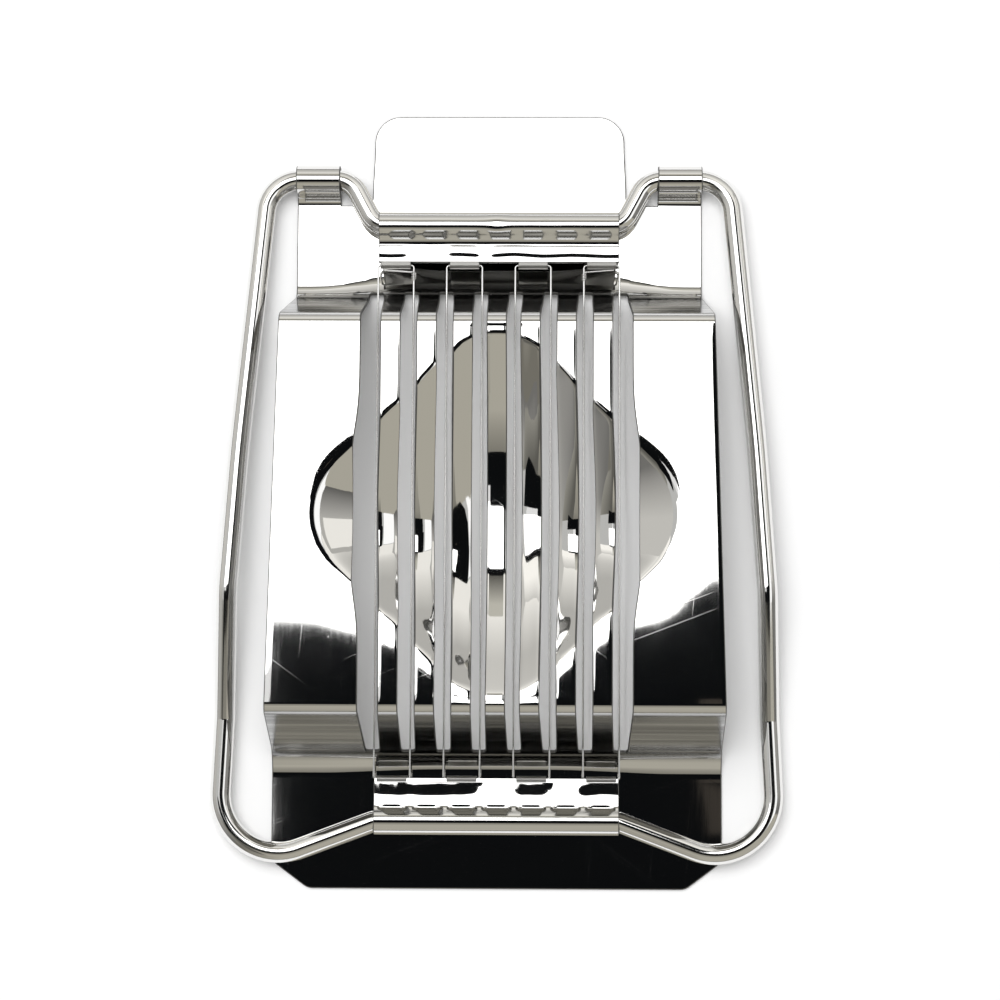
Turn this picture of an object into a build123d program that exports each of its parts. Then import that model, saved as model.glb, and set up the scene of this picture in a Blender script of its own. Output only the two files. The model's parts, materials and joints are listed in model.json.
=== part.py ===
"""Egg slicer: a stamped base sheet and a hinged rod frame that carries four loops of cutting wire.

Millimetres. +Z is up, the hinge is towards +Y and the front apron towards -Y. The origin is under the
middle of the base, on the worktop.
"""

import os
from math import cos, radians, sin, sqrt, tan

from build123d import *

os.makedirs("parts", exist_ok=True)

# Base sheet: lengths run along Y, flares are widenings on each side
sheet = 0.6
tongue_length = 15.9
ledge_length = 16.3
apron_length = 22.9
deck_height = 22.0
wall_lean = 17.0
brow_radius = 1.9
rear_foot_radius = 3.0
front_foot_radius = 4.5
deck_flare = 1.7
apron_flare = 0.3
tongue_gap = 5.85
tongue_corner = 4.4
tongue_root = 1.5
apron_chamfer_x = 6.2
apron_chamfer_y = 4.6
apron_corner = 2.5

# Egg recess: a rounded square standing on its corner, with what is left of the deck around it
recess_side = 49.9
recess_corner = 12.0
recess_floor_reach = 6.0
recess_levels = 6
recess_offset = 0.2
recess_end_margin = 2.9
recess_side_margin = 6.2
recess_wire_gap = 6.6
rim_radius = 0.9

# Slots: on the deck the strips are drawn towards the middle, so the outermost slots are widest
slot_count = 8
slot_pitch = 6.08
slot_width = 2.65
slot_corner = 0.5
slot_wire_gap = 0.6
strip_draw_in = 0.6
strip_draw_centre = 0.2
plate_spread = 0.4

# Hinge curls
curl_length = 7.35
curl_clearance = 0.25
curl_standoff = 1.55

# Frame rod: gaps are from the rod's side to the base beside it
rod_diameter = 3.5
frame_rest_gap = 0.3
butt_gap = 0.3
rear_bar_setback = 8.1
rear_knee_gap = 0.9
rear_knee_radius = 4.0
curl_knee_radius = 4.4
knee_turn = 62.0
knee_play = 0.12
rear_corner_radius = 6.0
rear_corner_entry = 1.0
bow_gap = 6.35
bow_setback = 20.5
bow_radius = 300.0
crank_gap = 6.25
crank_run = 21.1
crank_rise = 4.5
crank_top_radius = 12.0
crank_foot_gap = 6.75
crank_foot_setback = 0.8
crank_foot_radius = 3.0
front_corner_gap = 7.7
front_corner_radius = 10.0
front_bar_setback = 11.55
front_bar_angle = 20.5
front_knee_radius = 4.0

# Wire clamps
clamp_sheet = 0.6
clamp_fit = 0.02
neck_radius = 1.2
rear_flange_reach = 6.4
front_flange_reach = 6.5
hook_sheet = 0.4
hook_inset = 0.6

# Cutting wires: each loop runs through two slots
wire_diameter = 0.4
wire_fit = 0.02
loop_crowding = 0.21
loop_spread = 0.12
loop_corner = 0.5
knot_diameter = 0.9
knot_length = 1.2
knot_setback = 1.8

# Heights that follow from the sizes above
rod_radius = rod_diameter / 2
wire_radius = wire_diameter / 2
sleeve_radius = rod_radius + clamp_sheet
hinge_z = sheet + frame_rest_gap + sleeve_radius
slot_end_height = hinge_z - wire_radius - slot_wire_gap
recess_depth = deck_height - sheet - recess_wire_gap - wire_radius - hinge_z

# Half widths, from the wires and clamps out to the curls, and from the recess out to the deck. The knee
# beside each curl starts inside it, as far as the knee may use up the curl's clearance
loop_count = slot_count // 2
loop_pitch = 2 * slot_pitch - loop_crowding
loop_width = slot_pitch + loop_spread
hook_width = loop_width - 2 * hook_inset
clamp_half = ((loop_count - 1) * loop_pitch + loop_width - wire_diameter) / 2
rear_knee_x = clamp_half + rear_knee_gap
curl_knee_x = rear_knee_x + rear_bar_setback / tan(radians(knee_turn))
knee_entry = sqrt(knee_play * (2 * (curl_knee_radius - rod_radius) - knee_play))
curl_inner = curl_knee_x + curl_knee_radius * tan(radians(knee_turn / 2)) - knee_entry
ledge_half = curl_inner + curl_length
tongue_half = curl_inner - tongue_gap
recess_reach = recess_side / sqrt(2) - recess_corner * (sqrt(2) - 1)
rear_brow_half = recess_reach + recess_side_margin
front_brow_half = rear_brow_half + deck_flare
apron_half = front_brow_half + apron_flare

# Places along the length of the base
deck_length = 2 * (recess_reach + recess_end_margin)
wall_run = (deck_height - sheet) * tan(radians(wall_lean))
overall_length = tongue_length + ledge_length + deck_length + apron_length + 2 * wall_run
tongue_end_y = overall_length / 2
ledge_end_y = tongue_end_y - tongue_length
rear_foot_y = ledge_end_y - ledge_length
rear_brow_y = rear_foot_y - wall_run
front_brow_y = rear_brow_y - deck_length
front_foot_y = front_brow_y - wall_run
apron_end_y = front_foot_y - apron_length
recess_y = (rear_brow_y + front_brow_y) / 2 - recess_offset

# Places along the length of the frame
curl_bore = rod_radius + curl_clearance
curl_outer = curl_bore + sheet
curl_foot_radius = curl_standoff + sheet / 2
curl_front_y = ledge_end_y + curl_foot_radius
hinge_y = ledge_end_y + curl_standoff + curl_outer
rear_bar_y = hinge_y - rear_bar_setback
front_bar_y = front_foot_y - front_bar_setback
hook_bore = wire_radius + wire_fit
hook_radius = hook_bore + hook_sheet
rear_hook_y = rear_bar_y - rear_flange_reach - hook_radius
front_hook_y = front_bar_y + front_flange_reach + hook_radius


def mirrored(half):
    """A half outline followed by its mirror image in X, back to the start."""
    return half + [(-x, *rest) for x, *rest in reversed(half)]


def save(piece, name):
    """Label a finished piece and write it to its own file."""
    piece.part.label = name
    export_step(piece.part, f"parts/{name}.step")


def side_profile():
    """Points and bend radii of the middle of the base sheet, from the tongue to the apron."""
    low = sheet / 2
    high = deck_height - sheet / 2
    points = [
        (tongue_end_y, low),
        (rear_foot_y, low),
        (rear_brow_y, high),
        (front_brow_y, high),
        (front_foot_y, low),
        (apron_end_y, low),
    ]
    return points, [rear_foot_radius, brow_radius, brow_radius, front_foot_radius]


def plan_outline():
    """Right half of the base sheet's outline, seen from above."""
    return [
        (tongue_half, tongue_end_y),
        (tongue_half, ledge_end_y),
        (ledge_half, ledge_end_y),
        (ledge_half, rear_foot_y),
        (rear_brow_half, rear_brow_y),
        (front_brow_half, front_brow_y),
        (apron_half, front_foot_y),
        (apron_half, apron_end_y + apron_chamfer_y),
        (apron_half - apron_chamfer_x, apron_end_y),
    ]


def recess_sections(wall):
    """Heights, sides and corner radii of the recess, as its hollow or grown by a wall.

    Its long section is an arc from the rim down to a small flat floor.
    """
    reach = recess_reach + wall
    depth = recess_depth + wall
    centre_rise = (reach**2 - recess_floor_reach**2 - depth**2) / (2 * depth)
    arc_radius = sqrt(reach**2 + centre_rise**2)
    sections = []
    for level in range(recess_levels):
        level_depth = depth * level / (recess_levels - 1)
        scale = sqrt(arc_radius**2 - (centre_rise + level_depth) ** 2) / reach
        grown_side = recess_side + 2 * wall
        grown_corner = recess_corner + wall
        sections.append((deck_height - level_depth, grown_side * scale, grown_corner * scale))
    return sections


def climb(height, foot_radius):
    """How far in from the foot of a wall the top of the sheet has climbed to a height."""
    bend = radians(90 - wall_lean)
    start = foot_radius * tan(bend / 2)
    inside = foot_radius - sheet / 2
    bend_top = sheet + inside * (1 - cos(bend))
    if height > bend_top:
        return inside * sin(bend) - start + (height - bend_top) * tan(radians(wall_lean))
    return sqrt(inside**2 - (inside + sheet - height) ** 2) - start


def slot_outline(index):
    """Corners of one slot on the right half, counted outwards from the middle."""
    rear_y = rear_foot_y - climb(slot_end_height, rear_foot_radius)
    front_y = front_foot_y + climb(slot_end_height, front_foot_radius)
    middle = (index + 0.5) * slot_pitch
    inner = middle - slot_width / 2
    outer = middle + slot_width / 2
    last = index == slot_count // 2 - 1
    deck_inner = inner - (strip_draw_in if index else strip_draw_centre)
    deck_outer = outer + (plate_spread if last else -strip_draw_centre)
    return [
        (inner, front_y),
        (deck_inner, front_brow_y),
        (deck_inner, rear_brow_y),
        (inner, rear_y),
        (outer, rear_y),
        (deck_outer, rear_brow_y),
        (deck_outer, front_brow_y),
        (outer, front_y),
    ]


# The base sheet: its bent profile trimmed to its outline, then the recess, the curls and the slots
with BuildPart() as base_plate:
    with BuildSketch(Plane.YZ):
        with BuildLine():
            corners, bends = side_profile()
            FilletPolyline(*corners, radius=bends)
        trace(line_width=sheet)
    extrude(amount=2 * apron_half, both=True)

    with BuildSketch(Plane.XY) as outline:
        with BuildLine():
            Polyline(*mirrored(plan_outline()), close=True)
        make_face()
        tongue_tips = outline.vertices().group_by(Axis.Y)[-1]
        fillet(tongue_tips, tongue_corner)
        ledge_ends = outline.vertices().filter_by_position(Axis.Y, ledge_end_y - sheet, ledge_end_y + sheet)
        fillet(ledge_ends.sort_by(lambda v: abs(v.X))[:2], tongue_root)
        apron_ends = outline.vertices().filter_by_position(
            Axis.Y, apron_end_y - sheet, apron_end_y + apron_chamfer_y + sheet
        )
        fillet(apron_ends, apron_corner)
    extrude(amount=deck_height, mode=Mode.INTERSECT)

    for wall, action in ((sheet, Mode.ADD), (0, Mode.SUBTRACT)):
        for height, side, corner in recess_sections(wall):
            with BuildSketch(Plane.XY.offset(height)):
                with Locations((0, recess_y)):
                    RectangleRounded(side, side, corner, rotation=45)
        loft(mode=action)
    deck_top = base_plate.faces().filter_by(Axis.Z).sort_by(Axis.Z)[-1]
    fillet(deck_top.inner_wires()[0].edges(), rim_radius)

    for side in (-1, 1):
        with BuildSketch(Plane.YZ.offset(side * (curl_inner + ledge_half) / 2)):
            with BuildLine():
                FilletPolyline(
                    (ledge_end_y - sheet, sheet / 2),
                    (curl_front_y, sheet / 2),
                    (curl_front_y, hinge_z),
                    radius=curl_foot_radius,
                )
            trace(line_width=sheet)
            with Locations((hinge_y, hinge_z)):
                Circle(curl_outer)
                Circle(curl_bore, mode=Mode.SUBTRACT)
        extrude(amount=curl_length / 2, both=True)

    with BuildSketch(Plane.XY) as slots:
        for index in range(slot_count // 2):
            for side in (-1, 1):
                with BuildLine():
                    Polyline(*[(side * x, y) for x, y in slot_outline(index)], close=True)
                make_face()
        slot_ends = slots.vertices().group_by(Axis.Y)
        fillet(slot_ends[0] + slot_ends[-1], slot_corner)
    extrude(amount=deck_height, mode=Mode.SUBTRACT)
save(base_plate, "base_plate")


def rod_route():
    """Corner points and bend radii of the frame rod, from one butt end round to the other."""
    bow_y = rear_brow_y - bow_setback
    crank_top_y = front_brow_y + crank_run
    bow_rise = crank_rise * (hinge_y - bow_y) / (hinge_y - crank_top_y)
    front_corner_x = apron_half + front_corner_gap + rod_radius
    corner_drop = (front_corner_x - clamp_half) * tan(radians(front_bar_angle))
    half = [
        (butt_gap / 2, rear_bar_y, hinge_z),
        (rear_knee_x, rear_bar_y, hinge_z),
        (curl_knee_x, hinge_y, hinge_z),
        (ledge_half + rear_corner_radius - rear_corner_entry, hinge_y, hinge_z),
        (rear_brow_half + bow_gap + rod_radius, bow_y, hinge_z + bow_rise),
        (front_brow_half + crank_gap + rod_radius, crank_top_y, hinge_z + crank_rise),
        (front_brow_half + crank_foot_gap + rod_radius, front_brow_y - crank_foot_setback, hinge_z),
        (front_corner_x, front_bar_y - corner_drop, hinge_z),
        (clamp_half, front_bar_y, hinge_z),
    ]
    bends = [
        rear_knee_radius,
        curl_knee_radius,
        rear_corner_radius,
        bow_radius,
        crank_top_radius,
        crank_foot_radius,
        front_corner_radius,
        front_knee_radius,
    ]
    return mirrored(half), bends + bends[::-1]


# The frame rod: one round rod along its bent route
with BuildPart() as frame_rod:
    with BuildLine() as route:
        turns, radii = rod_route()
        FilletPolyline(*turns, radius=radii)
    with BuildSketch(Plane(origin=route.line @ 0, z_dir=route.line % 0)):
        Circle(rod_radius)
    sweep()
save(frame_rod, "frame_rod")

rod_length = route.wire().length
print(f"rod length {rod_length:.1f}, section {frame_rod.part.volume / rod_length:.3f}")


def loop_middle(index):
    """X of the middle of one wire loop, counted from the left."""
    return (index - (loop_count - 1) / 2) * loop_pitch


def clamp(bar_y, flange_reach, way):
    """A folded sleeve on a bar, with its flange and hooks towards +Y (way 1) or -Y (way -1)."""
    edge_y = bar_y + way * flange_reach
    hook_y = edge_y + way * hook_radius
    with BuildPart() as piece:
        with BuildSketch(Plane.YZ) as section:
            with Locations((bar_y, hinge_z)):
                Circle(sleeve_radius)
            with Locations(((bar_y + edge_y) / 2, hinge_z)):
                Rectangle(flange_reach, 2 * clamp_sheet)
            necks = section.vertices().sort_by(lambda v: abs(abs(v.X - bar_y) - sleeve_radius))
            fillet(necks[:2], neck_radius)
            with Locations((bar_y, hinge_z)):
                Circle(rod_radius + clamp_fit, mode=Mode.SUBTRACT)
        extrude(amount=clamp_half, both=True)
        for index in range(loop_count):
            with BuildSketch(Plane.YZ.offset(loop_middle(index))):
                with Locations(((edge_y + hook_y) / 2, hinge_z)):
                    Rectangle(hook_radius + hook_sheet, 2 * hook_sheet)
                with Locations((hook_y, hinge_z)):
                    Circle(hook_radius)
                    Circle(hook_bore, mode=Mode.SUBTRACT)
            extrude(amount=hook_width / 2, both=True)
        add(frame_rod.part, mode=Mode.SUBTRACT)
    return piece


save(clamp(rear_bar_y, rear_flange_reach, -1), "rear_wire_clamp")
save(clamp(front_bar_y, front_flange_reach, 1), "front_wire_clamp")

# The cutting wires: closed loops, each round a rear and a front hook, with a knot on the outer two
for index in range(loop_count):
    left = loop_middle(index) - loop_width / 2
    right = loop_middle(index) + loop_width / 2
    with BuildPart() as cutting_wire:
        with BuildLine() as loop:
            FilletPolyline(
                (left, front_hook_y, hinge_z),
                (right, front_hook_y, hinge_z),
                (right, rear_hook_y, hinge_z),
                (left, rear_hook_y, hinge_z),
                close=True,
                radius=loop_corner,
            )
        with BuildSketch(Plane(origin=loop.line @ 0, z_dir=loop.line % 0)):
            Circle(wire_radius)
        sweep()
        if index in (0, loop_count - 1):
            knot_x = min(left, right, key=abs)
            with BuildSketch(Plane(origin=(knot_x, rear_hook_y - knot_setback, hinge_z), z_dir=(0, 1, 0))):
                Circle(knot_diameter / 2)
            extrude(amount=knot_length / 2, both=True)
    save(cutting_wire, f"cutting_wire_{index + 1}")
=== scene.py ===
import json
from math import asin, atan, cos, exp, pi, radians, sin, sqrt, tan

import bmesh
import bpy
import numpy as np
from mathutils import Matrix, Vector, noise


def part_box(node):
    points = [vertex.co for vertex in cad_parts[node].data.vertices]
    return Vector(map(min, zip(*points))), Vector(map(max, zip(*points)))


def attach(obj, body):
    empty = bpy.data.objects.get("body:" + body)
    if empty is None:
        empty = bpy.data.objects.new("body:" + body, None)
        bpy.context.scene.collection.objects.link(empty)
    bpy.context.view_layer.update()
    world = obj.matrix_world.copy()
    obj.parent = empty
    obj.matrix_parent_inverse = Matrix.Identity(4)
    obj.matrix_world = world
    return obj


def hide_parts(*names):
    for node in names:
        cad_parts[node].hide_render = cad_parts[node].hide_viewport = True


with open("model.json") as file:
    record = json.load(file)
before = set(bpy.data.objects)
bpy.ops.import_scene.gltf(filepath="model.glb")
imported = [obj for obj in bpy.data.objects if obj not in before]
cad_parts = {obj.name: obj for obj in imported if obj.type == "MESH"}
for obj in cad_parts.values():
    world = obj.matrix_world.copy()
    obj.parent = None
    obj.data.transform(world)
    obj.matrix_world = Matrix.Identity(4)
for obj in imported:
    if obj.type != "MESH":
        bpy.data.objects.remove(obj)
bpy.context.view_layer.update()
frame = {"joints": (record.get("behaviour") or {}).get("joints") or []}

# Sizes are in millimetres, as in the CAD, and become metres where a mesh is made
MM = 0.001


def box_mm(node):
    """Lowest and highest corner of a CAD node, in millimetres."""
    low_corner, high_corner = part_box(node)
    return low_corner / MM, high_corner / MM


base_low, base_high = box_mm("base_plate")
rear_clamp_low, rear_clamp_high = box_mm("rear_wire_clamp")
front_clamp_low, front_clamp_high = box_mm("front_wire_clamp")
_, hinge_y, hinge_z = (value / MM for value in frame["joints"][0]["pos_m"])

# Base sheet
sheet = 0.6
tongue_length = 15.9
ledge_length = 16.3
apron_length = 22.9
wall_lean = radians(17)
brow_radius = 1.9
rear_foot_radius = 3.2
rear_strip_foot_radius = 8.4
front_foot_radius = 5.3
front_strip_foot_radius = 4.5
foot_blend = (9.0, 33.0)
tongue_half = 22.08
tongue_taper = 0.35
tongue_corner = 4.4
tongue_root = 1.5
apron_chamfer_x = 6.2
apron_chamfer_y = 4.6
apron_corner = 2.5
deck_flare = 1.7
apron_flare = 0.3
edge_round = 0.18
edge_roll_radius = 5.0
edge_roll_width = 0.7

# Where a drawn wall fades in above its foot and below its brow, in brow radii
wall_foot_fade = (0.3, 1.0)
wall_brow_fade = (0.1, 0.6)

# Unevenness, in layers that each have a height, a length and a seed
sheet_waves = ((0.03, 24, 3.1), (0.008, 9, 7.7))
die_line_waves = ((0.05, 1.1, 1.7), (0.02, 1.1 / 2.6, 4.3))
sleeve_waves = ((0.02, 4.5, 2.9),)
press_waves = ((0.25, 2.2, 5.1),)
press_wander_waves = ((0.5, 5, 3.3),)
rear_press_waves = ((0.3, 5, 8.6),)

# Egg recess: a rounded square standing on its corner
recess_side = 49.9
recess_corner = 12.0
recess_y = -4.85
recess_bottom_radius = 45.0
recess_wall_slope = 0.66
rim_softness = 0.24
lobe_rim_softness = 0.7
lobe_start = (20, 27)
rim_draw = 0.12
rim_draw_fade = 2.0
strip_edge_roll = 0.05
strip_roll_start = 0.75
strip_splay = 1.0

# How each of the strips is bent, from the left: share of the recess's cross slope, crown and low point
strip_twists = (0.85, 1.05, 1.0, 0.6, 1.0, 1.05, 0.85)
strip_crowns = (0.2, 0.2, 0.05, 0.03, 0.05, 0.2, 0.2)
low_point_shifts = (4.0, 4.0, 6.0, -0.8, 0.0, 4.0, 4.0)

# Slots
slot_pitch = 6.08
slot_width = 2.65
slot_corner = 0.5
slot_wire_gap = 0.2
strip_draw_in = 0.6
strip_draw_centre = 0.2
plate_spread = 0.4
lobe_spread = 1.3
lobe_spread_length = 9.0

# Hinge curls
curl_gap = 5.85
curl_length = 7.35
curl_clearance = 0.1
curl_end_angle = radians(-130)

# Frame rod: the bow, crank and corner gaps are from its side to the base beside it
rod_radius = 1.75
butt_gap = 0.3
rear_knee_gap = 0.8
knee_turn = radians(62)
rear_corner_run = 5.0
bow_gap = 6.35
bow_setback = 20.5
crank_gap = 6.25
crank_run = 21.1
crank_rise = 4.5
crank_foot_gap = 6.75
crank_foot_setback = 0.8
front_corner_gap = 7.7
front_bar_angle = radians(20.5)
rod_bends = [4.0, 4.2, 6.0, 300.0, 12.0, 3.0, 10.0, 4.0]

# Wire clamps
clamp_sheet = 0.6
hook_sheet = 0.4
clamp_round = 0.12
hook_round = 0.07
neck_radius = 2.6
front_flange_tilt = radians(8)
rear_flange_tilt = radians(0.5)
hook_bore = 0.22
hook_width = 5.0
hook_root = 0.5
lip_sheet = 0.25
lip_root = 0.4
front_lip = 0.75

# Cutting wires
wire_radius = 0.17
loop_count = 4
strip_count = 2 * loop_count - 1
loop_pitch = 11.95
loop_width = 6.2
loop_corner = 0.5
knot_setback = 1.9
knot_turns = 3
knot_length = 1.3
knot_wire_radius = 0.14
tail_length = 5.2
tail_rise = 0.4
tail_shares = (0.08, 0.5, 1.0)

# Press marks: spans along X, and steps along a flange from its hooks
front_presses = ((-24.0, -3.0), (3.0, 8.8), (14.0, 24.0))
press_rise = 1.6
press_fall = 1.2
press_step = (-0.5, 2.4)
press_steepness = 0.8
press_depth = 0.9
neck_press_pitch = 5.95
neck_press_fade = (1.3, 2.5)
neck_press_drop = 0.16
rear_presses = ((-23.0, -15.9), (-9.0, -3.2), (-1.6, 23.0))
rear_press_height = 0.13
rear_press_step = (0.6, 1.7)
rear_press_fade = (1.7, 3.8)
rear_press_end = 1.2
sleeve_wave_turn = 3
butt_press_x = -0.3
butt_press_depth = 0.16
butt_press_width = 1.5
butt_press_turn = 0.6

# Rows, columns and sides of the meshes, and the turn of one step round a bend
wall_row_count = 22
bend_row_count = 11
rim_row_count = 11
rim_crowding = 2
bowl_row_count = 34
bowl_crowding = 1.6
ledge_row_count = 8
apron_row_count = 10
slot_end_row_count = 7
tongue_corner_row_count = 13
tongue_row_count = 7
curl_foot_row_count = 12
curl_turn_row_count = 46
flange_row_count = 19
neck_row_count = 12
sleeve_row_count = 49
nose_row_count = 17
lip_row_count = 4
clamp_column_count = 121
hook_column_count = 9
rod_sides = 48
wire_sides = 16
knot_sides = 10
knot_turn_steps = 16
apron_turn_step = radians(5)
rod_turn_step = radians(3)
wire_turn_step = radians(9)

# Turns up to which the edges of sheets and of round pieces are shaded smooth
sheet_shade_angle = radians(35)
round_shade_angle = radians(40)

# Rounds that find the neck of a clamp, and a length that counts as none
neck_rounds = 30
tiny = 1e-6

# Places that follow from the sizes and the frame
low = sheet / 2
high = base_high.z - sheet / 2
wall_turn = pi / 2 - wall_lean
wall_run = (high - low) * tan(wall_lean)
tongue_end_y = base_high.y
apron_end_y = base_low.y
ledge_end_y = tongue_end_y - tongue_length
rear_foot_y = ledge_end_y - ledge_length
rear_brow_y = rear_foot_y - wall_run
front_foot_y = apron_end_y + apron_length
front_brow_y = front_foot_y + wall_run
brow_entry = brow_radius * tan(wall_turn / 2)
deck_rear_y = rear_brow_y - brow_entry
deck_front_y = front_brow_y + brow_entry
deck_out = -wall_run - brow_entry
apron_half = base_high.x
front_brow_half = apron_half - apron_flare
rear_brow_half = front_brow_half - deck_flare
recess_reach = recess_side / sqrt(2) - recess_corner * (sqrt(2) - 1)
wall_start = recess_bottom_radius * sin(atan(recess_wall_slope))
wall_start_rise = recess_bottom_radius * (1 - cos(atan(recess_wall_slope)))
recess_depth = wall_start_rise + recess_wall_slope * (recess_reach - wall_start)
clamp_half = rear_clamp_high.x
sleeve_radius = rod_radius + clamp_sheet
hook_radius = hook_bore + hook_sheet
curl_bore = rod_radius + curl_clearance
root_half = tongue_half + tongue_root
curl_inner_x = tongue_half + curl_gap
curl_outer_x = curl_inner_x + curl_length
slot_end_height = hinge_z - wire_radius - slot_wire_gap
rear_bar_y = rear_clamp_high.y - sleeve_radius
front_bar_y = front_clamp_low.y + sleeve_radius
rear_hook_y = rear_clamp_low.y + hook_radius
front_hook_y = front_clamp_high.y - hook_radius
rear_flange_reach = rear_bar_y - rear_hook_y - hook_radius
front_flange_reach = front_hook_y - front_bar_y - hook_radius


def fillet_path(points, radii, turn_step):
    """Points along a polyline whose inner corners are rounded to the given radii."""
    points = [np.array(point, dtype=float) for point in points]
    path = [points[0]]
    for before, corner, after, radius in zip(points, points[1:], points[2:], radii):
        back = (before - corner) / np.linalg.norm(before - corner)
        ahead = (after - corner) / np.linalg.norm(after - corner)
        turn = pi - np.arccos(np.clip(back @ ahead, -1, 1))
        start = corner + back * radius * tan(turn / 2)
        middle = (back + ahead) / np.linalg.norm(back + ahead)
        centre = corner + middle * radius / cos(turn / 2)
        steps = max(2, round(turn / turn_step))
        for step in range(steps + 1):
            angle = turn * step / steps
            path.append(centre + (start - centre) * cos(angle) - back * radius * sin(angle))
    path.append(points[-1])
    return np.array(path)


def waves(x, y, layers):
    """Smooth noise over the plan, from layers that each have a height, a length and a seed."""
    return sum(
        height * noise.noise(Vector((x / length, y / length, seed))) for height, length, seed in layers
    )


def bump(distance, width):
    """A bell curve of height 1."""
    return exp(-((distance / width) ** 2))


def smooth_step(value, start, end):
    """0 before start, 1 after end and smooth between."""
    along = min(1, max(0, (value - start) / (end - start)))
    return along * along * (3 - 2 * along)


def add_object(name, data):
    """A new object in the scene."""
    made = bpy.data.objects.new(name, data)
    bpy.context.collection.objects.link(made)
    return made


def shade(mesh, angle):
    """Smooth shading that keeps edges sharper than an angle, and the edges between kinds of face."""
    mesh.polygons.foreach_set("use_smooth", [True] * len(mesh.polygons))
    mesh.set_sharp_from_angle(angle=angle)
    shaped = bmesh.new()
    shaped.from_mesh(mesh)
    for edge in shaped.edges:
        if len({face.material_index for face in edge.link_faces}) > 1:
            edge.smooth = False
    shaped.to_mesh(mesh)
    shaped.free()


def new_piece(name, points, faces, drawn=None, kinds=None, wall=None):
    """An object with a shaded mesh made from points in millimetres.

    A drawn rod or wire keeps the place of every point round and along it, for its drawing lines, and a
    sheet keeps the kinds of its faces and how much each point belongs to a drawn wall.
    """
    mesh = bpy.data.meshes.new(name)
    mesh.from_pydata(MM * np.array(points), [], faces)
    if drawn is not None:
        places = mesh.attributes.new("drawn", "FLOAT_VECTOR", "POINT")
        places.data.foreach_set("vector", np.array(drawn).ravel())
    if wall is not None:
        shares = mesh.attributes.new("wall", "FLOAT", "POINT")
        shares.data.foreach_set("value", wall)
    if kinds is not None:
        mesh.polygons.foreach_set("material_index", kinds)
    shade(mesh, sheet_shade_angle if drawn is None else round_shade_angle)
    return add_object(name, mesh)


def joined(parts):
    """Points, faces and point or face values of several meshes as one mesh."""
    points, faces, values = [], [], []
    for part_points, part_faces, part_values in parts:
        start = len(points)
        points.extend(part_points)
        faces.extend([start + corner for corner in face] for face in part_faces)
        values.extend(part_values)
    return points, faces, values


# Kinds of face of a solid sheet, which are also the places of their materials, and its rounded edges
upper_side, cut_edge, under_side = range(3)
edge_turns = np.linspace(pi / 2, 0, 3)[1:]
widest_mitre = 1.5


def border(points, faces, normals):
    """Border edges of a sheet, and for each of its points the way out over the border."""
    sides = {(start, end) for face in faces for start, end in zip(face, face[1:] + face[:1])}
    edges = sorted((start, end) for start, end in sides if (end, start) not in sides)
    outward = np.zeros_like(points)
    for start, end in edges:
        way = np.cross(points[end] - points[start], normals[start] + normals[end])
        length = np.linalg.norm(way)
        if length > 0:
            outward[start] += way / length
            outward[end] += way / length
    for point in {point for edge in edges for point in edge}:
        length = np.linalg.norm(outward[point])
        outward[point] *= min(2 / length, widest_mitre) / length
    return edges, outward


def solid_sheet(points, faces, thickness, rounding):
    """A sheet with rounded edges, from the points and four-sided faces of its middle.

    Points that no face uses are left out. Gives its points, faces and kinds of face, and the middle point
    that each of its points belongs to.
    """
    used, places = np.unique(faces, return_inverse=True)
    faces = places.reshape(-1, 4).tolist()
    points = np.array(points, dtype=float)[used]
    corners = points[np.array(faces)]
    tilts = np.cross(corners[:, 2] - corners[:, 0], corners[:, 3] - corners[:, 1])
    normals = np.zeros_like(points)
    np.add.at(normals, np.array(faces).ravel(), np.repeat(tilts, 4, axis=0))
    normals /= np.linalg.norm(normals, axis=1)[:, None]
    edges, outward = border(points, faces, normals)

    flat = thickness / 2 - rounding
    rounds = [(rounding * cos(turn), flat + rounding * sin(turn)) for turn in edge_turns]
    rounds += [(out, -up) for out, up in reversed(rounds)]
    count = len(points)
    solid = [points + normals * thickness / 2, points - normals * thickness / 2]
    owners = [*range(count), *range(count)]
    chains = {}
    for point in sorted({point for edge in edges for point in edge}):
        first = len(owners)
        chains[point] = [point, *range(first, first + len(rounds)), count + point]
        solid.append([points[point] + outward[point] * out + normals[point] * up for out, up in rounds])
        owners.extend([point] * len(rounds))
    solid_faces = faces + [[count + corner for corner in reversed(face)] for face in faces]
    kinds = [upper_side] * len(faces) + [under_side] * len(faces)
    for start, end in edges:
        from_start, from_end = chains[start], chains[end]
        for step in range(len(rounds) + 1):
            solid_faces.append([from_end[step], from_start[step], from_start[step + 1], from_end[step + 1]])
            kinds.append(cut_edge)
    return np.concatenate(solid), solid_faces, kinds, used[owners]


def fit_out(piece, body, slot, node, *materials):
    """Put a finished piece on its body, in place of its CAD node."""
    for material in materials:
        piece.data.materials.append(material)
    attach(piece, body)
    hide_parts(node)


# Base sheet


def wall_profile(out, foot_radius):
    """Height of the middle of the sheet at a distance outwards from the foot of a wall."""
    foot_entry = foot_radius * tan(wall_turn / 2)
    if out >= foot_entry:
        return low
    if out >= foot_entry - foot_radius * sin(wall_turn):
        return low + foot_radius - sqrt(foot_radius**2 - (foot_entry - out) ** 2)
    if out >= deck_out + brow_radius * sin(wall_turn):
        return low - out / tan(wall_lean)
    if out >= deck_out:
        return high - brow_radius + sqrt(brow_radius**2 - (out - deck_out) ** 2)
    return high


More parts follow.
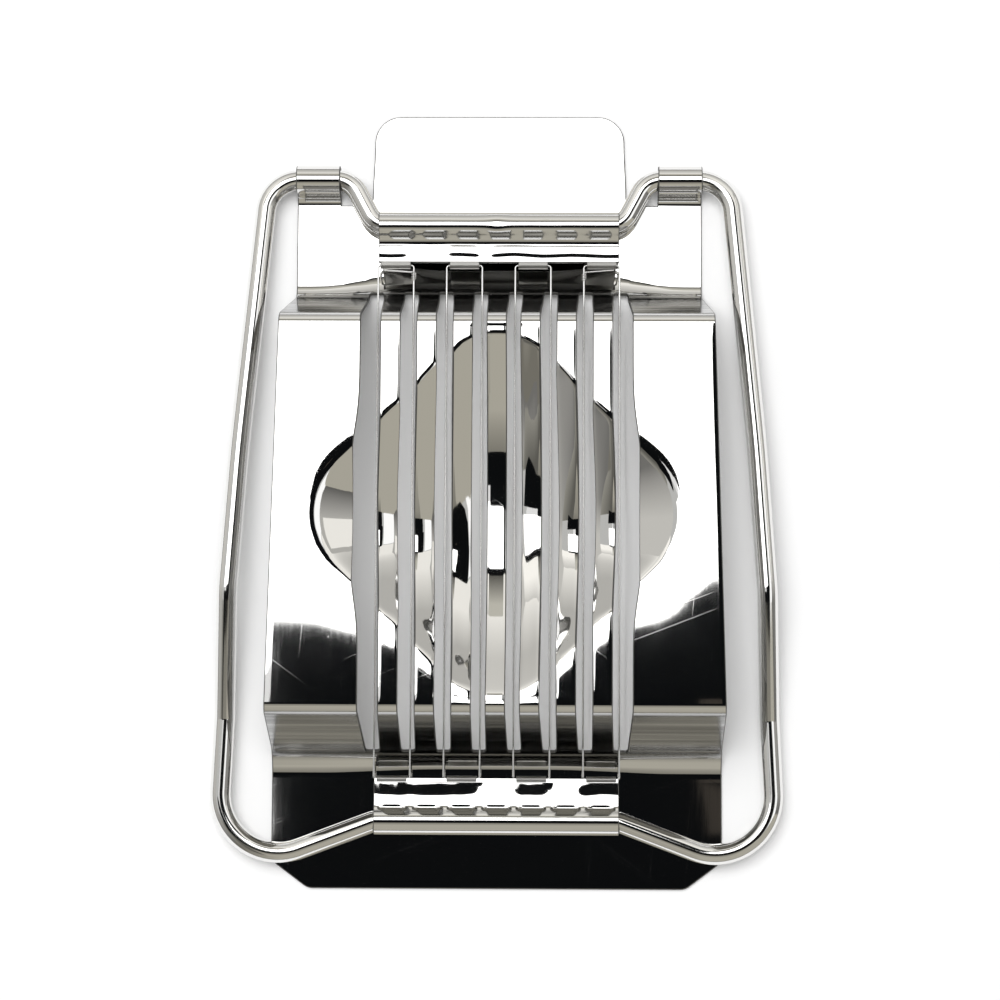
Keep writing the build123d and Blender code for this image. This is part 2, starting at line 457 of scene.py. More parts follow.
def profile(x, y):
    """Height of the middle of the bent sheet at a place. Its feet have their own radii by the strips."""
    if y > recess_y:
        strip_radius, plate_radius, out = rear_strip_foot_radius, rear_foot_radius, y - rear_foot_y
    else:
        strip_radius, plate_radius, out = front_strip_foot_radius, front_foot_radius, front_foot_y - y
    plate_share = smooth_step(abs(x), *foot_blend)
    return wall_profile(out, strip_radius + (plate_radius - strip_radius) * plate_share)


def wall_rows(foot_radius):
    """Distances outwards from the foot of a wall at which the sheet has rows, from the deck out."""
    foot_entry = foot_radius * tan(wall_turn / 2)
    angles = np.linspace(0, wall_turn, bend_row_count)
    brow = deck_out + brow_radius * np.sin(angles)
    foot = foot_entry - foot_radius * np.sin(angles[::-1])
    return np.concatenate([brow[1:], np.linspace(brow[-1], foot[0], wall_row_count)[1:-1], foot])


def climb(height, foot_radius):
    """How far in from the foot of a wall the top of the sheet has climbed to a height."""
    inside = foot_radius - sheet / 2
    return sqrt(inside**2 - (inside + sheet - height) ** 2) - foot_radius * tan(wall_turn / 2)


slot_rear_y = rear_foot_y - climb(slot_end_height, rear_strip_foot_radius)
slot_front_y = front_foot_y + climb(slot_end_height, front_strip_foot_radius)


def tongue_edge(y):
    """Half width of the tongue, with its rounded corners and its flared root."""
    corner_y = tongue_end_y - tongue_corner
    root_y = ledge_end_y + tongue_root
    half = tongue_half - tongue_taper * smooth_step(y, root_y, corner_y)
    if y > corner_y:
        return half - tongue_corner + sqrt(max(0, tongue_corner**2 - (y - corner_y) ** 2))
    if y < root_y:
        return half + tongue_root - sqrt(max(0, tongue_root**2 - (root_y - y) ** 2))
    return half


apron_outline = fillet_path(
    [
        (apron_half, front_foot_y),
        (apron_half, apron_end_y + apron_chamfer_y),
        (apron_half - apron_chamfer_x, apron_end_y),
        (0, apron_end_y),
    ],
    [apron_corner, apron_corner],
    apron_turn_step,
)[:-1]


def sheet_edge(y):
    """Half width of the base sheet behind, on and in front of the deck."""
    if y < front_foot_y:
        return np.interp(-y, -apron_outline[:, 1], apron_outline[:, 0])
    places = [front_foot_y, front_brow_y, rear_brow_y, rear_foot_y]
    return np.interp(y, places, [apron_half, front_brow_half, rear_brow_half, curl_outer_x])


def slot_edges(y):
    """X of the slot edges of the right half at a place along the sheet, from the middle out."""
    edges = []
    from_end = min(slot_rear_y - y, y - slot_front_y)
    rounding = 0
    if 0 <= from_end < slot_corner:
        rounding = slot_corner - sqrt(slot_corner**2 - (slot_corner - from_end) ** 2)
    on_deck = np.interp(y, [slot_front_y, front_brow_y, rear_brow_y, slot_rear_y], [0, 1, 1, 0])
    for index in range(loop_count):
        middle = (index + 0.5) * slot_pitch
        last = index == loop_count - 1
        inner_draw = strip_draw_in if index else strip_draw_centre
        outer_draw = -plate_spread if last else strip_draw_centre
        spread = lobe_spread * bump(y - recess_y, lobe_spread_length) if last else 0
        edges.append(middle - slot_width / 2 - inner_draw * on_deck + rounding)
        edges.append(middle + slot_width / 2 - outer_draw * on_deck + spread - rounding)
    if y > slot_rear_y:
        along = (y - slot_rear_y) / (ledge_end_y - slot_rear_y)
        edges[-1] += (root_half - edges[-1]) * along
    return edges


def breakpoints(y):
    """X of the sheet's edges and slot edges across its whole width."""
    if y > ledge_end_y:
        edges = np.array(slot_edges(ledge_end_y)) * tongue_edge(y) / tongue_edge(ledge_end_y)
        half = [*edges, edges[-1]]
    else:
        half = [*slot_edges(y), sheet_edge(y)]
    return [-x for x in reversed(half)] + half


# Places of the columns across a slot, a strip or a plate, as fractions of its width. A plate's columns are
# spaced evenly between its rim, curl, lobe and edge.
slot_fractions = np.array([0, 0.5, 1])
rim_fractions = np.array([0, 0.015, 0.04, 0.08])
edge_fractions = np.array([0, 0.008, 0.018, 0.03, 0.045, 0.07])
strip_middle = np.linspace(0.16, 0.84, 5)
strip_fractions = np.concatenate([rim_fractions, strip_middle, 1 - rim_fractions[::-1]])
curl_fraction = (curl_inner_x - root_half) / (curl_outer_x - root_half)
plate_marks = (0.04, curl_fraction, 0.62, 0.93)
plate_counts = (7, 11, 5)
plate_middle = [
    np.linspace(start, end, count)[:-1]
    for start, end, count in zip(plate_marks, plate_marks[1:], plate_counts)
]
plate_fractions = np.concatenate([rim_fractions / 4, *plate_middle, 1 - edge_fractions[::-1]])

# The same for each stretch of the sheet, from its left edge to its right edge
stretches = [1 - plate_fractions[::-1]]
stretches += [slot_fractions, strip_fractions] * strip_count
stretches += [slot_fractions, plate_fractions]
stretch_start = np.cumsum([0] + [len(part) - 1 for part in stretches])
column_count = stretch_start[-1] + 1


def row_x(y):
    """X of every column in a row."""
    marks = breakpoints(y)
    columns = [marks[0]]
    for start, end, part in zip(marks, marks[1:], stretches):
        columns.extend(start + (end - start) * part[1:])
    return np.array(columns)


def column_strips():
    """For every column, the strip it lies on, if any, and its place across that strip from -1 to 1."""
    places = [(None, 0)] * column_count
    for strip in range(strip_count):
        stretch = 2 * strip + 2
        for step, fraction in enumerate(stretches[stretch]):
            places[stretch_start[stretch] + step] = (strip, 2 * fraction - 1)
    return places


def rim_half_length(x):
    """How far the recess rim is from the recess middle, along the length, at a place across the width."""
    x = abs(x)
    tip_centre = recess_reach - recess_corner
    tip_run = recess_corner * sin(pi / 4)
    if x <= tip_run:
        return tip_centre + sqrt(recess_corner**2 - x**2)
    if x <= tip_centre + tip_run:
        return tip_centre + 2 * tip_run - x
    return sqrt(max(0, recess_corner**2 - (x - tip_centre) ** 2))


def recess(x, y):
    """Depth of the recess below the deck."""
    half_side = recess_side / 2
    inner = half_side - recess_corner
    along = abs(x + y - recess_y) / sqrt(2)
    across = abs(x - y + recess_y) / sqrt(2)
    shorter, longer = sorted((along, across))
    gauge = longer / half_side
    if shorter * half_side > inner * longer:
        total = inner * (along + across)
        squared = along**2 + across**2
        root = max(0, total**2 - squared * (2 * inner**2 - recess_corner**2))
        gauge = squared / (total + sqrt(root))
    reach = recess_reach * gauge
    if reach < wall_start:
        rise = recess_bottom_radius - sqrt(recess_bottom_radius**2 - reach**2)
    else:
        rise = wall_start_rise + recess_wall_slope * (reach - wall_start)
    bowl = recess_depth - rise
    softness = rim_softness + (lobe_rim_softness - rim_softness) * smooth_step(abs(x), *lobe_start)
    drawn = rim_draw * exp(min(0, bowl) / rim_draw_fade)
    return (bowl + sqrt(bowl**2 + softness**2)) / 2 + drawn


least_rim_half = 3.0
outer_steps = (np.arange(rim_row_count + 1) / rim_row_count) ** rim_crowding
inner_steps = (np.arange(bowl_row_count + 1) / bowl_row_count) ** bowl_crowding


def deck_row_y(row, x):
    """Y of a deck row at a place across the width: rows crowd along the recess rim and follow it."""
    rim = max(least_rim_half, rim_half_length(x))
    half_rows = rim_row_count + bowl_row_count
    side = 1 if row <= half_rows else -1
    flat_edge = deck_rear_y if side > 0 else deck_front_y
    from_edge = row if side > 0 else 2 * half_rows - row
    rim_y = recess_y + side * rim
    if from_edge <= rim_row_count:
        return rim_y + (flat_edge - rim_y) * outer_steps[rim_row_count - from_edge]
    return rim_y + (recess_y - rim_y) * inner_steps[from_edge - rim_row_count]


deck_rows = 2 * (rim_row_count + bowl_row_count) + 1
slot_end_rows = slot_corner * (1 - np.cos(np.linspace(0, pi / 2, slot_end_row_count)))


def rear_rows():
    """Y of the rows behind the deck and in front of the tongue, from the rear."""
    walls = rear_foot_y + wall_rows(rear_foot_radius)
    strip_foot = rear_foot_y + wall_rows(rear_strip_foot_radius)[-bend_row_count:]
    ledge = np.linspace(ledge_end_y, strip_foot[-1], ledge_row_count)
    ends = slot_rear_y - slot_end_rows
    return sorted({*ledge, *strip_foot, *walls, *ends}, reverse=True)


def front_rows():
    """Y of the rows in front of the deck, from the deck to the apron's end."""
    walls = front_foot_y - wall_rows(front_foot_radius)
    strip_foot = front_foot_y - wall_rows(front_strip_foot_radius)[-bend_row_count::2]
    apron = np.linspace(strip_foot[-1], apron_outline[1, 1], apron_row_count)
    ends = slot_front_y + slot_end_rows
    return sorted({*walls, *strip_foot, *apron, *ends, *apron_outline[1:, 1]}, reverse=True)


def tongue_rows():
    """Y of the rows of the tongue, from its end."""
    corner_turns = np.linspace(pi / 2, 0, tongue_corner_row_count)
    root_turns = np.linspace(0, pi / 2, tongue_row_count)
    corner = tongue_end_y - tongue_corner * (1 - np.sin(corner_turns))
    root = ledge_end_y + tongue_root * (1 - np.sin(root_turns))
    middle = np.linspace(corner[-1], root[0], tongue_row_count)[1:-1]
    return [*corner, *middle, *root[:-1]]


def die_lines(height):
    """How far the drawn walls swell out at a height: faint level lines left by the die."""
    fade = smooth_step(height, low + brow_radius, low + 2 * brow_radius)
    fade *= 1 - smooth_step(height, high - 2 * brow_radius, high - brow_radius)
    return fade * waves(height, 0, die_line_waves)


def wall_share(y, height):
    """1 on the drawn walls and 0 on the flats, the recess and the curls, with soft ends."""
    if deck_front_y < y < deck_rear_y or y > rear_foot_y + rear_strip_foot_radius:
        return 0
    above_foot = (height - low) / brow_radius
    below_brow = (high - height) / brow_radius
    return smooth_step(above_foot, *wall_foot_fade) * smooth_step(below_brow, *wall_brow_fade)


def base_point(x, y, strip=None, across=0):
    """A point of the middle of the base sheet, on a plate or at a place across a strip from -1 to 1."""
    height = profile(x, y) + waves(x, y, sheet_waves)
    if not deck_front_y < y < deck_rear_y:
        swell = die_lines(height)
        return (x, y + swell if y > recess_y else y - swell, height)
    if strip is None:
        rolled = max(0, edge_roll_width - sheet_edge(y) + abs(x))
        return (x, y, height - recess(x, y) - rolled**2 / (2 * edge_roll_radius))
    middle = (strip - loop_count + 1) * slot_pitch
    near_x = middle + strip_twists[strip] * (x - middle)
    lowness = min(1, recess(middle, y) / recess_depth)
    dip = recess(near_x, y + low_point_shifts[strip] * lowness)
    dip += lowness * strip_crowns[strip] * across**2
    dip += strip_edge_roll * smooth_step(abs(across), strip_roll_start, 1)
    splay = strip_splay * middle / (slot_pitch * (loop_count - 1)) * lowness
    return (x + splay, y, height - dip)


def curl_path():
    """Y and Z along the middle of a hinge curl, from the ledge up and over the rod to its free end."""
    radius = curl_bore + sheet / 2
    foot = hinge_y - radius - ledge_end_y
    path = []
    for turn in np.linspace(0, pi / 2, curl_foot_row_count)[1:]:
        path.append((ledge_end_y + foot * sin(turn), low + foot * (1 - cos(turn))))
    for turn in np.linspace(pi, curl_end_angle, curl_turn_row_count):
        path.append((hinge_y + radius * cos(turn), hinge_z + radius * sin(turn)))
    return path


def make_base():
    """The base sheet as one bent, slotted and drawn sheet with its hinge curls."""
    points = []
    faces = []
    grid = []
    first_slot = stretch_start[1]
    last_slot = stretch_start[-2]
    strip_places = column_strips()

    def add_row(row_points):
        start = len(points)
        points.extend(row_points)
        return np.arange(start, start + len(row_points))

    def full_row(y_of):
        y_edge = y_of(sheet_edge(recess_y))
        places = zip(row_x(y_edge), strip_places)
        return add_row([base_point(x, y_of(x), strip, across) for x, (strip, across) in places])

    def add_faces(upper, lower, columns):
        for k in columns:
            faces.append([upper[k], lower[k], lower[k + 1], upper[k + 1]])

    for y in [*tongue_rows(), *rear_rows()]:
        grid.append((full_row(lambda x, y=y: y), y))
    for row in range(deck_rows):
        grid.append((full_row(lambda x, row=row: deck_row_y(row, x)), recess_y))
    for y in front_rows():
        grid.append((full_row(lambda x, y=y: y), y))

    slot_columns = set()
    for start, end in zip(stretch_start[1::2], stretch_start[2::2]):
        slot_columns.update(range(start, end))
    for (upper, upper_y), (lower, lower_y) in zip(grid, grid[1:]):
        columns = range(column_count - 1)
        if upper_y > ledge_end_y:
            columns = range(first_slot, last_slot)
        elif upper_y <= slot_rear_y and lower_y >= slot_front_y:
            columns = [column for column in columns if column not in slot_columns]
        add_faces(upper, lower, columns)

    ledge_row = grid[len(tongue_rows())][0]
    right = last_slot + np.flatnonzero(plate_fractions >= curl_fraction - tiny)
    left = column_count - 1 - right[::-1]
    for columns in (left, right):
        x_places = [points[corner][0] for corner in ledge_row[columns]]
        rows = [ledge_row[columns]]
        rows += [add_row([(x, y, z) for x in x_places]) for y, z in curl_path()]
        for lower, upper in zip(rows, rows[1:]):
            add_faces(upper, lower, range(len(columns) - 1))

    solid, solid_faces, kinds, owners = solid_sheet(points, faces, sheet, edge_round)
    wall = [wall_share(*points[owner][1:]) for owner in owners]
    return new_piece("base_sheet", solid, solid_faces, kinds=kinds, wall=wall)


# Swept rod and wires


def tube(route, radius, sides, closed=False):
    """Points, faces and drawing places of a round tube. A closed route ends where it starts."""
    route = np.array(route)
    steps = np.linalg.norm(np.diff(route, axis=0), axis=1)
    route = route[np.append(True, steps > tiny)]
    tangents = np.gradient(route, axis=0)
    if closed:
        route = route[:-1]
        tangents = np.roll(route, -1, axis=0) - np.roll(route, 1, axis=0)
    tangents /= np.linalg.norm(tangents, axis=1)[:, None]
    runs = np.append(0, np.cumsum(steps[steps > tiny]))
    turns = 2 * pi * np.arange(sides) / sides
    section = [(radius * cos(turn), radius * sin(turn)) for turn in turns]
    normal = np.cross(tangents[0], (0.0, 0.0, 1.0))
    points = []
    drawn = []
    for place, tangent, run in zip(route, tangents, runs):
        normal = normal - tangent * (normal @ tangent)
        normal /= np.linalg.norm(normal)
        other = np.cross(tangent, normal)
        for aside, up in section:
            points.append(place + normal * aside + other * up)
            drawn.append((MM * aside, MM * up, MM * run))
    faces = []
    count = len(route)
    for ring in range(count if closed else count - 1):
        this = ring * sides
        following = (ring + 1) % count * sides
        for side in range(sides):
            turned = (side + 1) % sides
            faces.append([this + side, this + turned, following + turned, following + side])
    if not closed:
        faces.append(list(range(sides))[::-1])
        faces.append([(count - 1) * sides + side for side in range(sides)])
    return points, faces, drawn


def rod_route():
    """Corner points of the right half of the frame rod, from the rear butt to the front."""
    knee_x = clamp_half + rear_knee_gap
    curl_knee_x = knee_x + (hinge_y - rear_bar_y) / tan(knee_turn)
    bow_y = rear_brow_y - bow_setback
    crank_y = front_brow_y + crank_run
    bow_rise = crank_rise * (hinge_y - bow_y) / (hinge_y - crank_y)
    corner_x = apron_half + front_corner_gap + rod_radius
    corner_drop = (corner_x - clamp_half) * tan(front_bar_angle)
    return [
        (butt_gap / 2, rear_bar_y, hinge_z),
        (knee_x, rear_bar_y, hinge_z),
        (curl_knee_x, hinge_y, hinge_z),
        (curl_outer_x + rear_corner_run, hinge_y, hinge_z),
        (rear_brow_half + bow_gap + rod_radius, bow_y, hinge_z + bow_rise),
        (front_brow_half + crank_gap + rod_radius, crank_y, hinge_z + crank_rise),
        (front_brow_half + crank_foot_gap + rod_radius, front_brow_y - crank_foot_setback, hinge_z),
        (corner_x, front_bar_y - corner_drop, hinge_z),
        (clamp_half, front_bar_y, hinge_z),
    ]


def make_rod():
    """The bent frame rod."""
    half = rod_route()
    whole = half + [(-x, y, z) for x, y, z in reversed(half)]
    route = fillet_path(whole, rod_bends + rod_bends[::-1], rod_turn_step)
    return new_piece("bent_rod", *tube(route, rod_radius, rod_sides))


def loop_middle(index):
    """X of the middle of one wire loop, counted from the left."""
    return (index - (loop_count - 1) / 2) * loop_pitch


def knot(x, towards):
    """A twist of wire round a leg at x, with its tail lying towards +X (1) or -X (-1)."""
    middle_y = rear_hook_y - knot_setback
    coil_radius = wire_radius + knot_wire_radius
    route = []
    for step in np.linspace(0, 1, knot_turn_steps * knot_turns + 1):
        angle = 2 * pi * knot_turns * step + pi / 2
        y = middle_y + knot_length * (step - 0.5)
        route.append((x + coil_radius * cos(angle), y, hinge_z + coil_radius * sin(angle)))
    for share in tail_shares:
        y = middle_y + knot_length / 2 + tail_rise * share
        route.append((x + towards * tail_length * share, y, hinge_z + coil_radius))
    return tube(route, knot_wire_radius, knot_sides)


def make_wire(index):
    """One closed loop of cutting wire, with a knot on the inner leg of the outer two."""
    left = loop_middle(index) - loop_width / 2
    right = loop_middle(index) + loop_width / 2
    start_y = (front_hook_y + rear_hook_y) / 2
    front = [(left, front_hook_y), (right, front_hook_y)]
    rear = [(right, rear_hook_y), (left, rear_hook_y)]
    plan = [(left, start_y), *front, *rear, (left, start_y)]
    route = fillet_path([(x, y, hinge_z) for x, y in plan], [loop_corner] * 4, wire_turn_step)
    parts = [tube(route, wire_radius, wire_sides, closed=True)]
    if index == 0:
        parts.append(knot(right, -1))
    if index == loop_count - 1:
        parts.append(knot(left, 1))
    return new_piece(f"wire_loop_{index + 1}", *joined(parts))


# Wire clamps


def clamp_section(reach, tilt):
    """The middle of the folded sheet from its upper edge to its lower edge.

    Every row is a distance out from the bar, a height above it, a zone and a place along that zone. The two
    layers of the flange part from the hooks to the neck, by a tilt each.
    """
    middle = rod_radius + clamp_sheet / 2
    neck = neck_radius + clamp_sheet / 2
    layer = clamp_sheet / 2
    neck_out = reach / 2
    for _ in range(neck_rounds):
        neck_up = layer + tan(tilt) * (reach - neck_out) + neck / cos(tilt)
        neck_out = sqrt((middle + neck) ** 2 - neck_up**2)
    neck_angle = asin(neck_up / (middle + neck))
    flange_end = neck_out - neck * sin(tilt)
    rows = []
    for out in np.linspace(reach, flange_end, flange_row_count):
        rows.append((out, layer + tan(tilt) * (reach - out), "flange", reach - out))
    for along in np.linspace(0, 1, neck_row_count)[1:]:
        angle = -(pi / 2 + tilt) + along * (neck_angle - pi / 2 + tilt)
        rows.append((neck_out + neck * cos(angle), neck_up + neck * sin(angle), "neck", along))
    lower = [(out, -up, "lower", 0) for out, up, _, _ in reversed(rows)]
    for angle in np.linspace(neck_angle, 2 * pi - neck_angle, sleeve_row_count)[1:-1]:
        rows.append((middle * cos(angle), middle * sin(angle), "sleeve", angle))
    return rows + lower


def window(x, start, end, rise, fall):
    """1 between start and end and 0 outside, with soft ends."""
    return smooth_step(x, start - rise, start + rise) * (1 - smooth_step(x, end - fall, end + fall))


def front_press(x, zone, along):
    """Change of height of the front clamp's upper layer where it was pressed."""
    if zone == "flange":
        flat = max(window(x, *span, press_rise, press_fall) for span in front_presses)
        flat *= press_depth + waves(x, 0, press_waves)
        lifted = tan(front_flange_tilt) * (press_step[1] - press_step[0]) * press_steepness * flat
        along += waves(x, 0, press_wander_waves)
        return lifted * (1 - smooth_step(along, *press_step))
    if zone == "neck":
        from_mark = abs(x - neck_press_pitch * round(x / neck_press_pitch))
        marked = 1 - smooth_step(from_mark, *neck_press_fade)
        return -neck_press_drop * marked * sin(pi * along) ** 2
    return 0


def rear_press(x, zone, along):
    """Change of height of the rear clamp's upper layer where it was pressed."""
    if zone == "flange":
        marked = max(window(x, *span, rear_press_end, rear_press_end) for span in rear_presses)
        along += waves(x, 0, rear_press_waves)
        lifted = smooth_step(along, *rear_press_step) - smooth_step(along, *rear_press_fade)
        return rear_press_height * marked * lifted
    if zone == "sleeve":
        top = bump(along - pi / 2, butt_press_turn)
        dent = butt_press_depth * bump(x - butt_press_x, butt_press_width) * top
        return waves(x, sleeve_wave_turn * along, sleeve_waves) - dent
    return 0


def hook_section(reach):
    """Out and up along a hook, from the flange over the wire and back under it."""
    middle = hook_bore + hook_sheet / 2
    centre = reach + hook_radius
    turns = np.linspace(pi / 2, -pi / 2, nose_row_count)
    nose = [(centre + middle * cos(turn), middle * sin(turn)) for turn in turns]
    return [(reach - hook_root, clamp_sheet / 2), *nose, (reach - hook_root, -clamp_sheet / 2)]


def lip_section(reach, tilt, lip):
    """Out and up along a thin lip that goes on from the top of the flange, from its end over the wires."""
    top = clamp_sheet - lip_sheet / 2
    return [(reach + out, top - tan(tilt) * out) for out in np.linspace(lip, -lip_root, lip_row_count)]


def swept_sheet(columns, rows, way, thickness, rounding):
    """A solid sheet whose rows of points run along columns of X."""
    width = len(columns)
    faces = []
    for row in range(len(rows) // width - 1):
        for column in range(width - 1):
            first = row * width + column
            corners = [first, first + width, first + width + 1, first + 1]
            faces.append(corners if way > 0 else corners[::-1])
    return solid_sheet(rows, faces, thickness, rounding)[:3]


def make_clamp(name, bar_y, reach, way, tilt, press, lip=0):
    """A folded sleeve with its flange, hooks and any lip towards +Y (way 1) or -Y (way -1)."""
    columns = np.linspace(-clamp_half, clamp_half, clamp_column_count)
    hook_columns = np.linspace(-hook_width / 2, hook_width / 2, hook_column_count)

    def swept(columns, section, thickness, rounding):
        rows = [(x, bar_y + way * out, hinge_z + up) for out, up in section for x in columns]
        return swept_sheet(columns, rows, way, thickness, rounding)

    rows = []
    for out, up, zone, along in clamp_section(reach, tilt):
        rows.extend((x, bar_y + way * out, hinge_z + up + press(x, zone, along)) for x in columns)
    parts = [swept_sheet(columns, rows, way, clamp_sheet, clamp_round)]
    if lip:
        parts.append(swept(columns, lip_section(reach, tilt, lip), lip_sheet, hook_round))
    for index in range(loop_count):
        hook = swept(loop_middle(index) + hook_columns, hook_section(reach), hook_sheet, hook_round)
        parts.append(hook)
    points, faces, kinds = joined(parts)
    return new_piece(name, points, faces, kinds=kinds)


# Materials: scales are in repeats per metre

steel_colour = (0.85, 0.845, 0.83)
wire_colour = (0.86, 0.86, 0.85)
# The cut edges are rougher steel, and their dark colour is painted shade that outlines the sheets
edge_and_shade_colour = (0.16, 0.16, 0.155)
# The undersides are unpolished steel, and their dark colour is painted shade under the sheets
dull_and_shade_colour = (0.36, 0.355, 0.34)
cloud_scale = 90
cloud_range = (0.3, 0.75)
streak_range = (0.5, 0.8)
speck_scale = 150
speck_size = 0.035
scratch_scale = (2600, 22, 2600)
scratch_range = (0.73, 0.78)
scratch_roughness = 0.04
streak_roughness = 0.02
relief_strength = 0.03
relief_depth = 0.00002
# Drawn walls: level lines left by the die, tones of painted shade that darken the walls in place of their
# dark reflection, and roughness
wall_line_scale = (9, 9, 520)
wall_line_range = (0.35, 0.65)
wall_shade_tones = (0.17, 0.5)
wall_roughness = 0.12
floor_colour = (0.96, 0.96, 0.96)


def add_node(tree, kind, **values):
    """A shader node with its settings and inputs filled in or linked."""
    node = tree.nodes.new(kind)
    for key, value in values.items():
        name = key.replace("_", " ")
        if hasattr(node, key):
            setattr(node, key, value)
        elif isinstance(value, bpy.types.NodeSocket):
            tree.links.new(value, node.inputs[name])
        else:
            node.inputs[name].default_value = value
    return node


def texture(tree, kind, place, scale, turn=0.0, **settings):
    """A texture node over places that are turned in the plan and then scaled."""
    turned = add_node(tree, "ShaderNodeMapping", Vector=place, Rotation=(0, 0, turn))
    spread = add_node(tree, "ShaderNodeMapping", Vector=turned.outputs["Vector"], Scale=scale)
    return add_node(tree, kind, Vector=spread.outputs["Vector"], Scale=1, **settings)


def ranged(tree, value, start, end, start_value, end_value):
    """A value mapped from the range start to end, and clamped."""
    limits = {"From_Min": start, "From_Max": end, "To_Min": start_value, "To_Max": end_value}
    return add_node(tree, "ShaderNodeMapRange", Value=value, **limits).outputs["Result"]


def combined(tree, operation, first, second):
    """Two changing values added, or the larger of the two."""
    made = add_node(tree, "ShaderNodeMath", operation=operation)
    tree.links.new(first, made.inputs[0])
    tree.links.new(second, made.inputs[1])
    return made.outputs["Value"]


def draw_wall(tree, shader, place, rough):
    """Darken a sheet with painted shade where it is a drawn wall, in level lines left by the die, and
    roughen it there.
    """
    share = add_node(tree, "ShaderNodeAttribute", attribute_name="wall").outputs["Fac"]
    lines = texture(tree, "ShaderNodeTexNoise", place, wall_line_scale, Detail=3, Roughness=0.6)
    # The tone is painted shade, darker or lighter along the die's level lines
    tone = ranged(tree, lines.outputs["Fac"], *wall_line_range, *wall_shade_tones)
    tint = add_node(tree, "ShaderNodeMix", data_type="RGBA")
    mix_colours = [socket for socket in tint.inputs if socket.type == "RGBA"]
    mix_colours[0].default_value = shader.inputs["Base Color"].default_value
    tree.links.new(tone, mix_colours[1])
    tree.links.new(share, tint.inputs["Factor"])
    tinted = next(socket for socket in tint.outputs if socket.type == "RGBA")
    tree.links.new(tinted, shader.inputs["Base Color"])
    return combined(tree, "ADD", rough, ranged(tree, share, 0, 1, 0, wall_roughness))


def steel(name, colour, polish, grain, scratch_turns=(), drawn=False, walled=False):
    """Polished stainless steel: a cloudy polish, a fine grain, sparse thin scratches and specks, and painted
    shade on drawn walls.
    """
    material = bpy.data.materials.new(name)
    material.use_nodes = True
    tree = material.node_tree
    shader = tree.nodes["Principled BSDF"]
    shader.inputs["Metallic"].default_value = 1
    shader.inputs["Base Color"].default_value = (*colour, 1)
    if drawn:
        place = add_node(tree, "ShaderNodeAttribute", attribute_name="drawn").outputs["Vector"]
    else:
        place = add_node(tree, "ShaderNodeTexCoord").outputs["Object"]
    cloud = texture(tree, "ShaderNodeTexNoise", place, (cloud_scale,) * 3, Detail=4, Roughness=0.6)
    rough = ranged(tree, cloud.outputs["Fac"], *cloud_range, *polish)
    streaks = texture(tree, "ShaderNodeTexNoise", place, grain, Detail=3, Roughness=0.6)
    streaked = ranged(tree, streaks.outputs["Fac"], *streak_range, 0, streak_roughness)
    rough = combined(tree, "ADD", rough, streaked)
    speck = texture(tree, "ShaderNodeTexVoronoi", place, (speck_scale,) * 3)
    marks = ranged(tree, speck.outputs["Distance"], 0, speck_size, 1, 0)
    for turn in scratch_turns:
        lines = texture(tree, "ShaderNodeTexNoise", place, scratch_scale, turn, Detail=1)
        marks = combined(tree, "MAXIMUM", marks, ranged(tree, lines.outputs["Fac"], *scratch_range, 0, 1))
    rough = combined(tree, "ADD", rough, ranged(tree, marks, 0, 1, 0, scratch_roughness))
    # Drawn walls get painted shade in their colour, and more roughness
    if walled:
        rough = draw_wall(tree, shader, place, rough)
    tree.links.new(rough, shader.inputs["Roughness"])
    relief = combined(tree, "ADD", streaks.outputs["Fac"], marks)
    dents = add_node(tree, "ShaderNodeBump", Height=relief, Strength=relief_strength, Distance=relief_depth)
    tree.links.new(dents.outputs["Normal"], shader.inputs["Normal"])
    return material


def plain(name, kind, output, **values):
    """A material of one shader node."""
    material = bpy.data.materials.new(name)
    material.use_nodes = True
    tree = material.node_tree
    tree.nodes.remove(tree.nodes["Principled BSDF"])
    shader = add_node(tree, kind, **values)
    tree.links.new(shader.outputs[output], tree.nodes["Material Output"].inputs["Surface"])
    return material


def glow(name, colour, strength=1):
    """A plain lit surface for a studio card."""
    return plain(name, "ShaderNodeEmission", "Emission", Color=(*colour, 1), Strength=strength)


def graded(name, colour, axis, *fade):
    """A lit surface whose strength changes along an axis, between two places in metres."""
    material = glow(name, colour)
    tree = material.node_tree
    place = add_node(tree, "ShaderNodeTexCoord").outputs["Object"]
    split = add_node(tree, "ShaderNodeSeparateXYZ", Vector=place)
    strength = ranged(tree, split.outputs[axis], *fade)
    tree.links.new(strength, tree.nodes["Emission"].inputs["Strength"])
    return material


def pale_floor():
    """A plain pale floor that keeps shadows."""
    return plain("pale_floor", "ShaderNodeBsdfDiffuse", "BSDF", Color=(*floor_colour, 1))


# Studio, in metres

card_height = 0.531
camera_stand_height = 0.53
soft_box_height = 0.551
ceiling_height = 0.562
wall_place = 0.6
ring_place = 0.58
ring_bottom = 0.001
ring_top = 0.05
floor_half = 3

# Lamps, levels and colours
key_place = (-0.25, 0.3, 1.4)
key_size = 1.0
key_power = 15.2
soft_box_level = 2.4
right_light_level = 1.15
diffuse_sky_level = 0.5
glossy_sky_level = 0.85
black_colour = (0.004, 0.0045, 0.005)
camera_stand_colour = (0.045, 0.039, 0.033)
front_colour = (0.44, 0.42, 0.36)
side_ceiling_colour = (0.54, 0.54, 0.53)
ring_colour = (0.08, 0.08, 0.075)
white = (1, 1, 1)
warm_white = (1, 0.98, 0.93)
warm_grey = (1, 0.97, 0.86)

# Lines in the plan that part the ceiling's cards, and where the right wall turns beige
front_line = -0.197
rear_line = 0.3
side_line = 0.2
rear_lines = (-0.16, 0.1)
right_wall_turn = -0.2

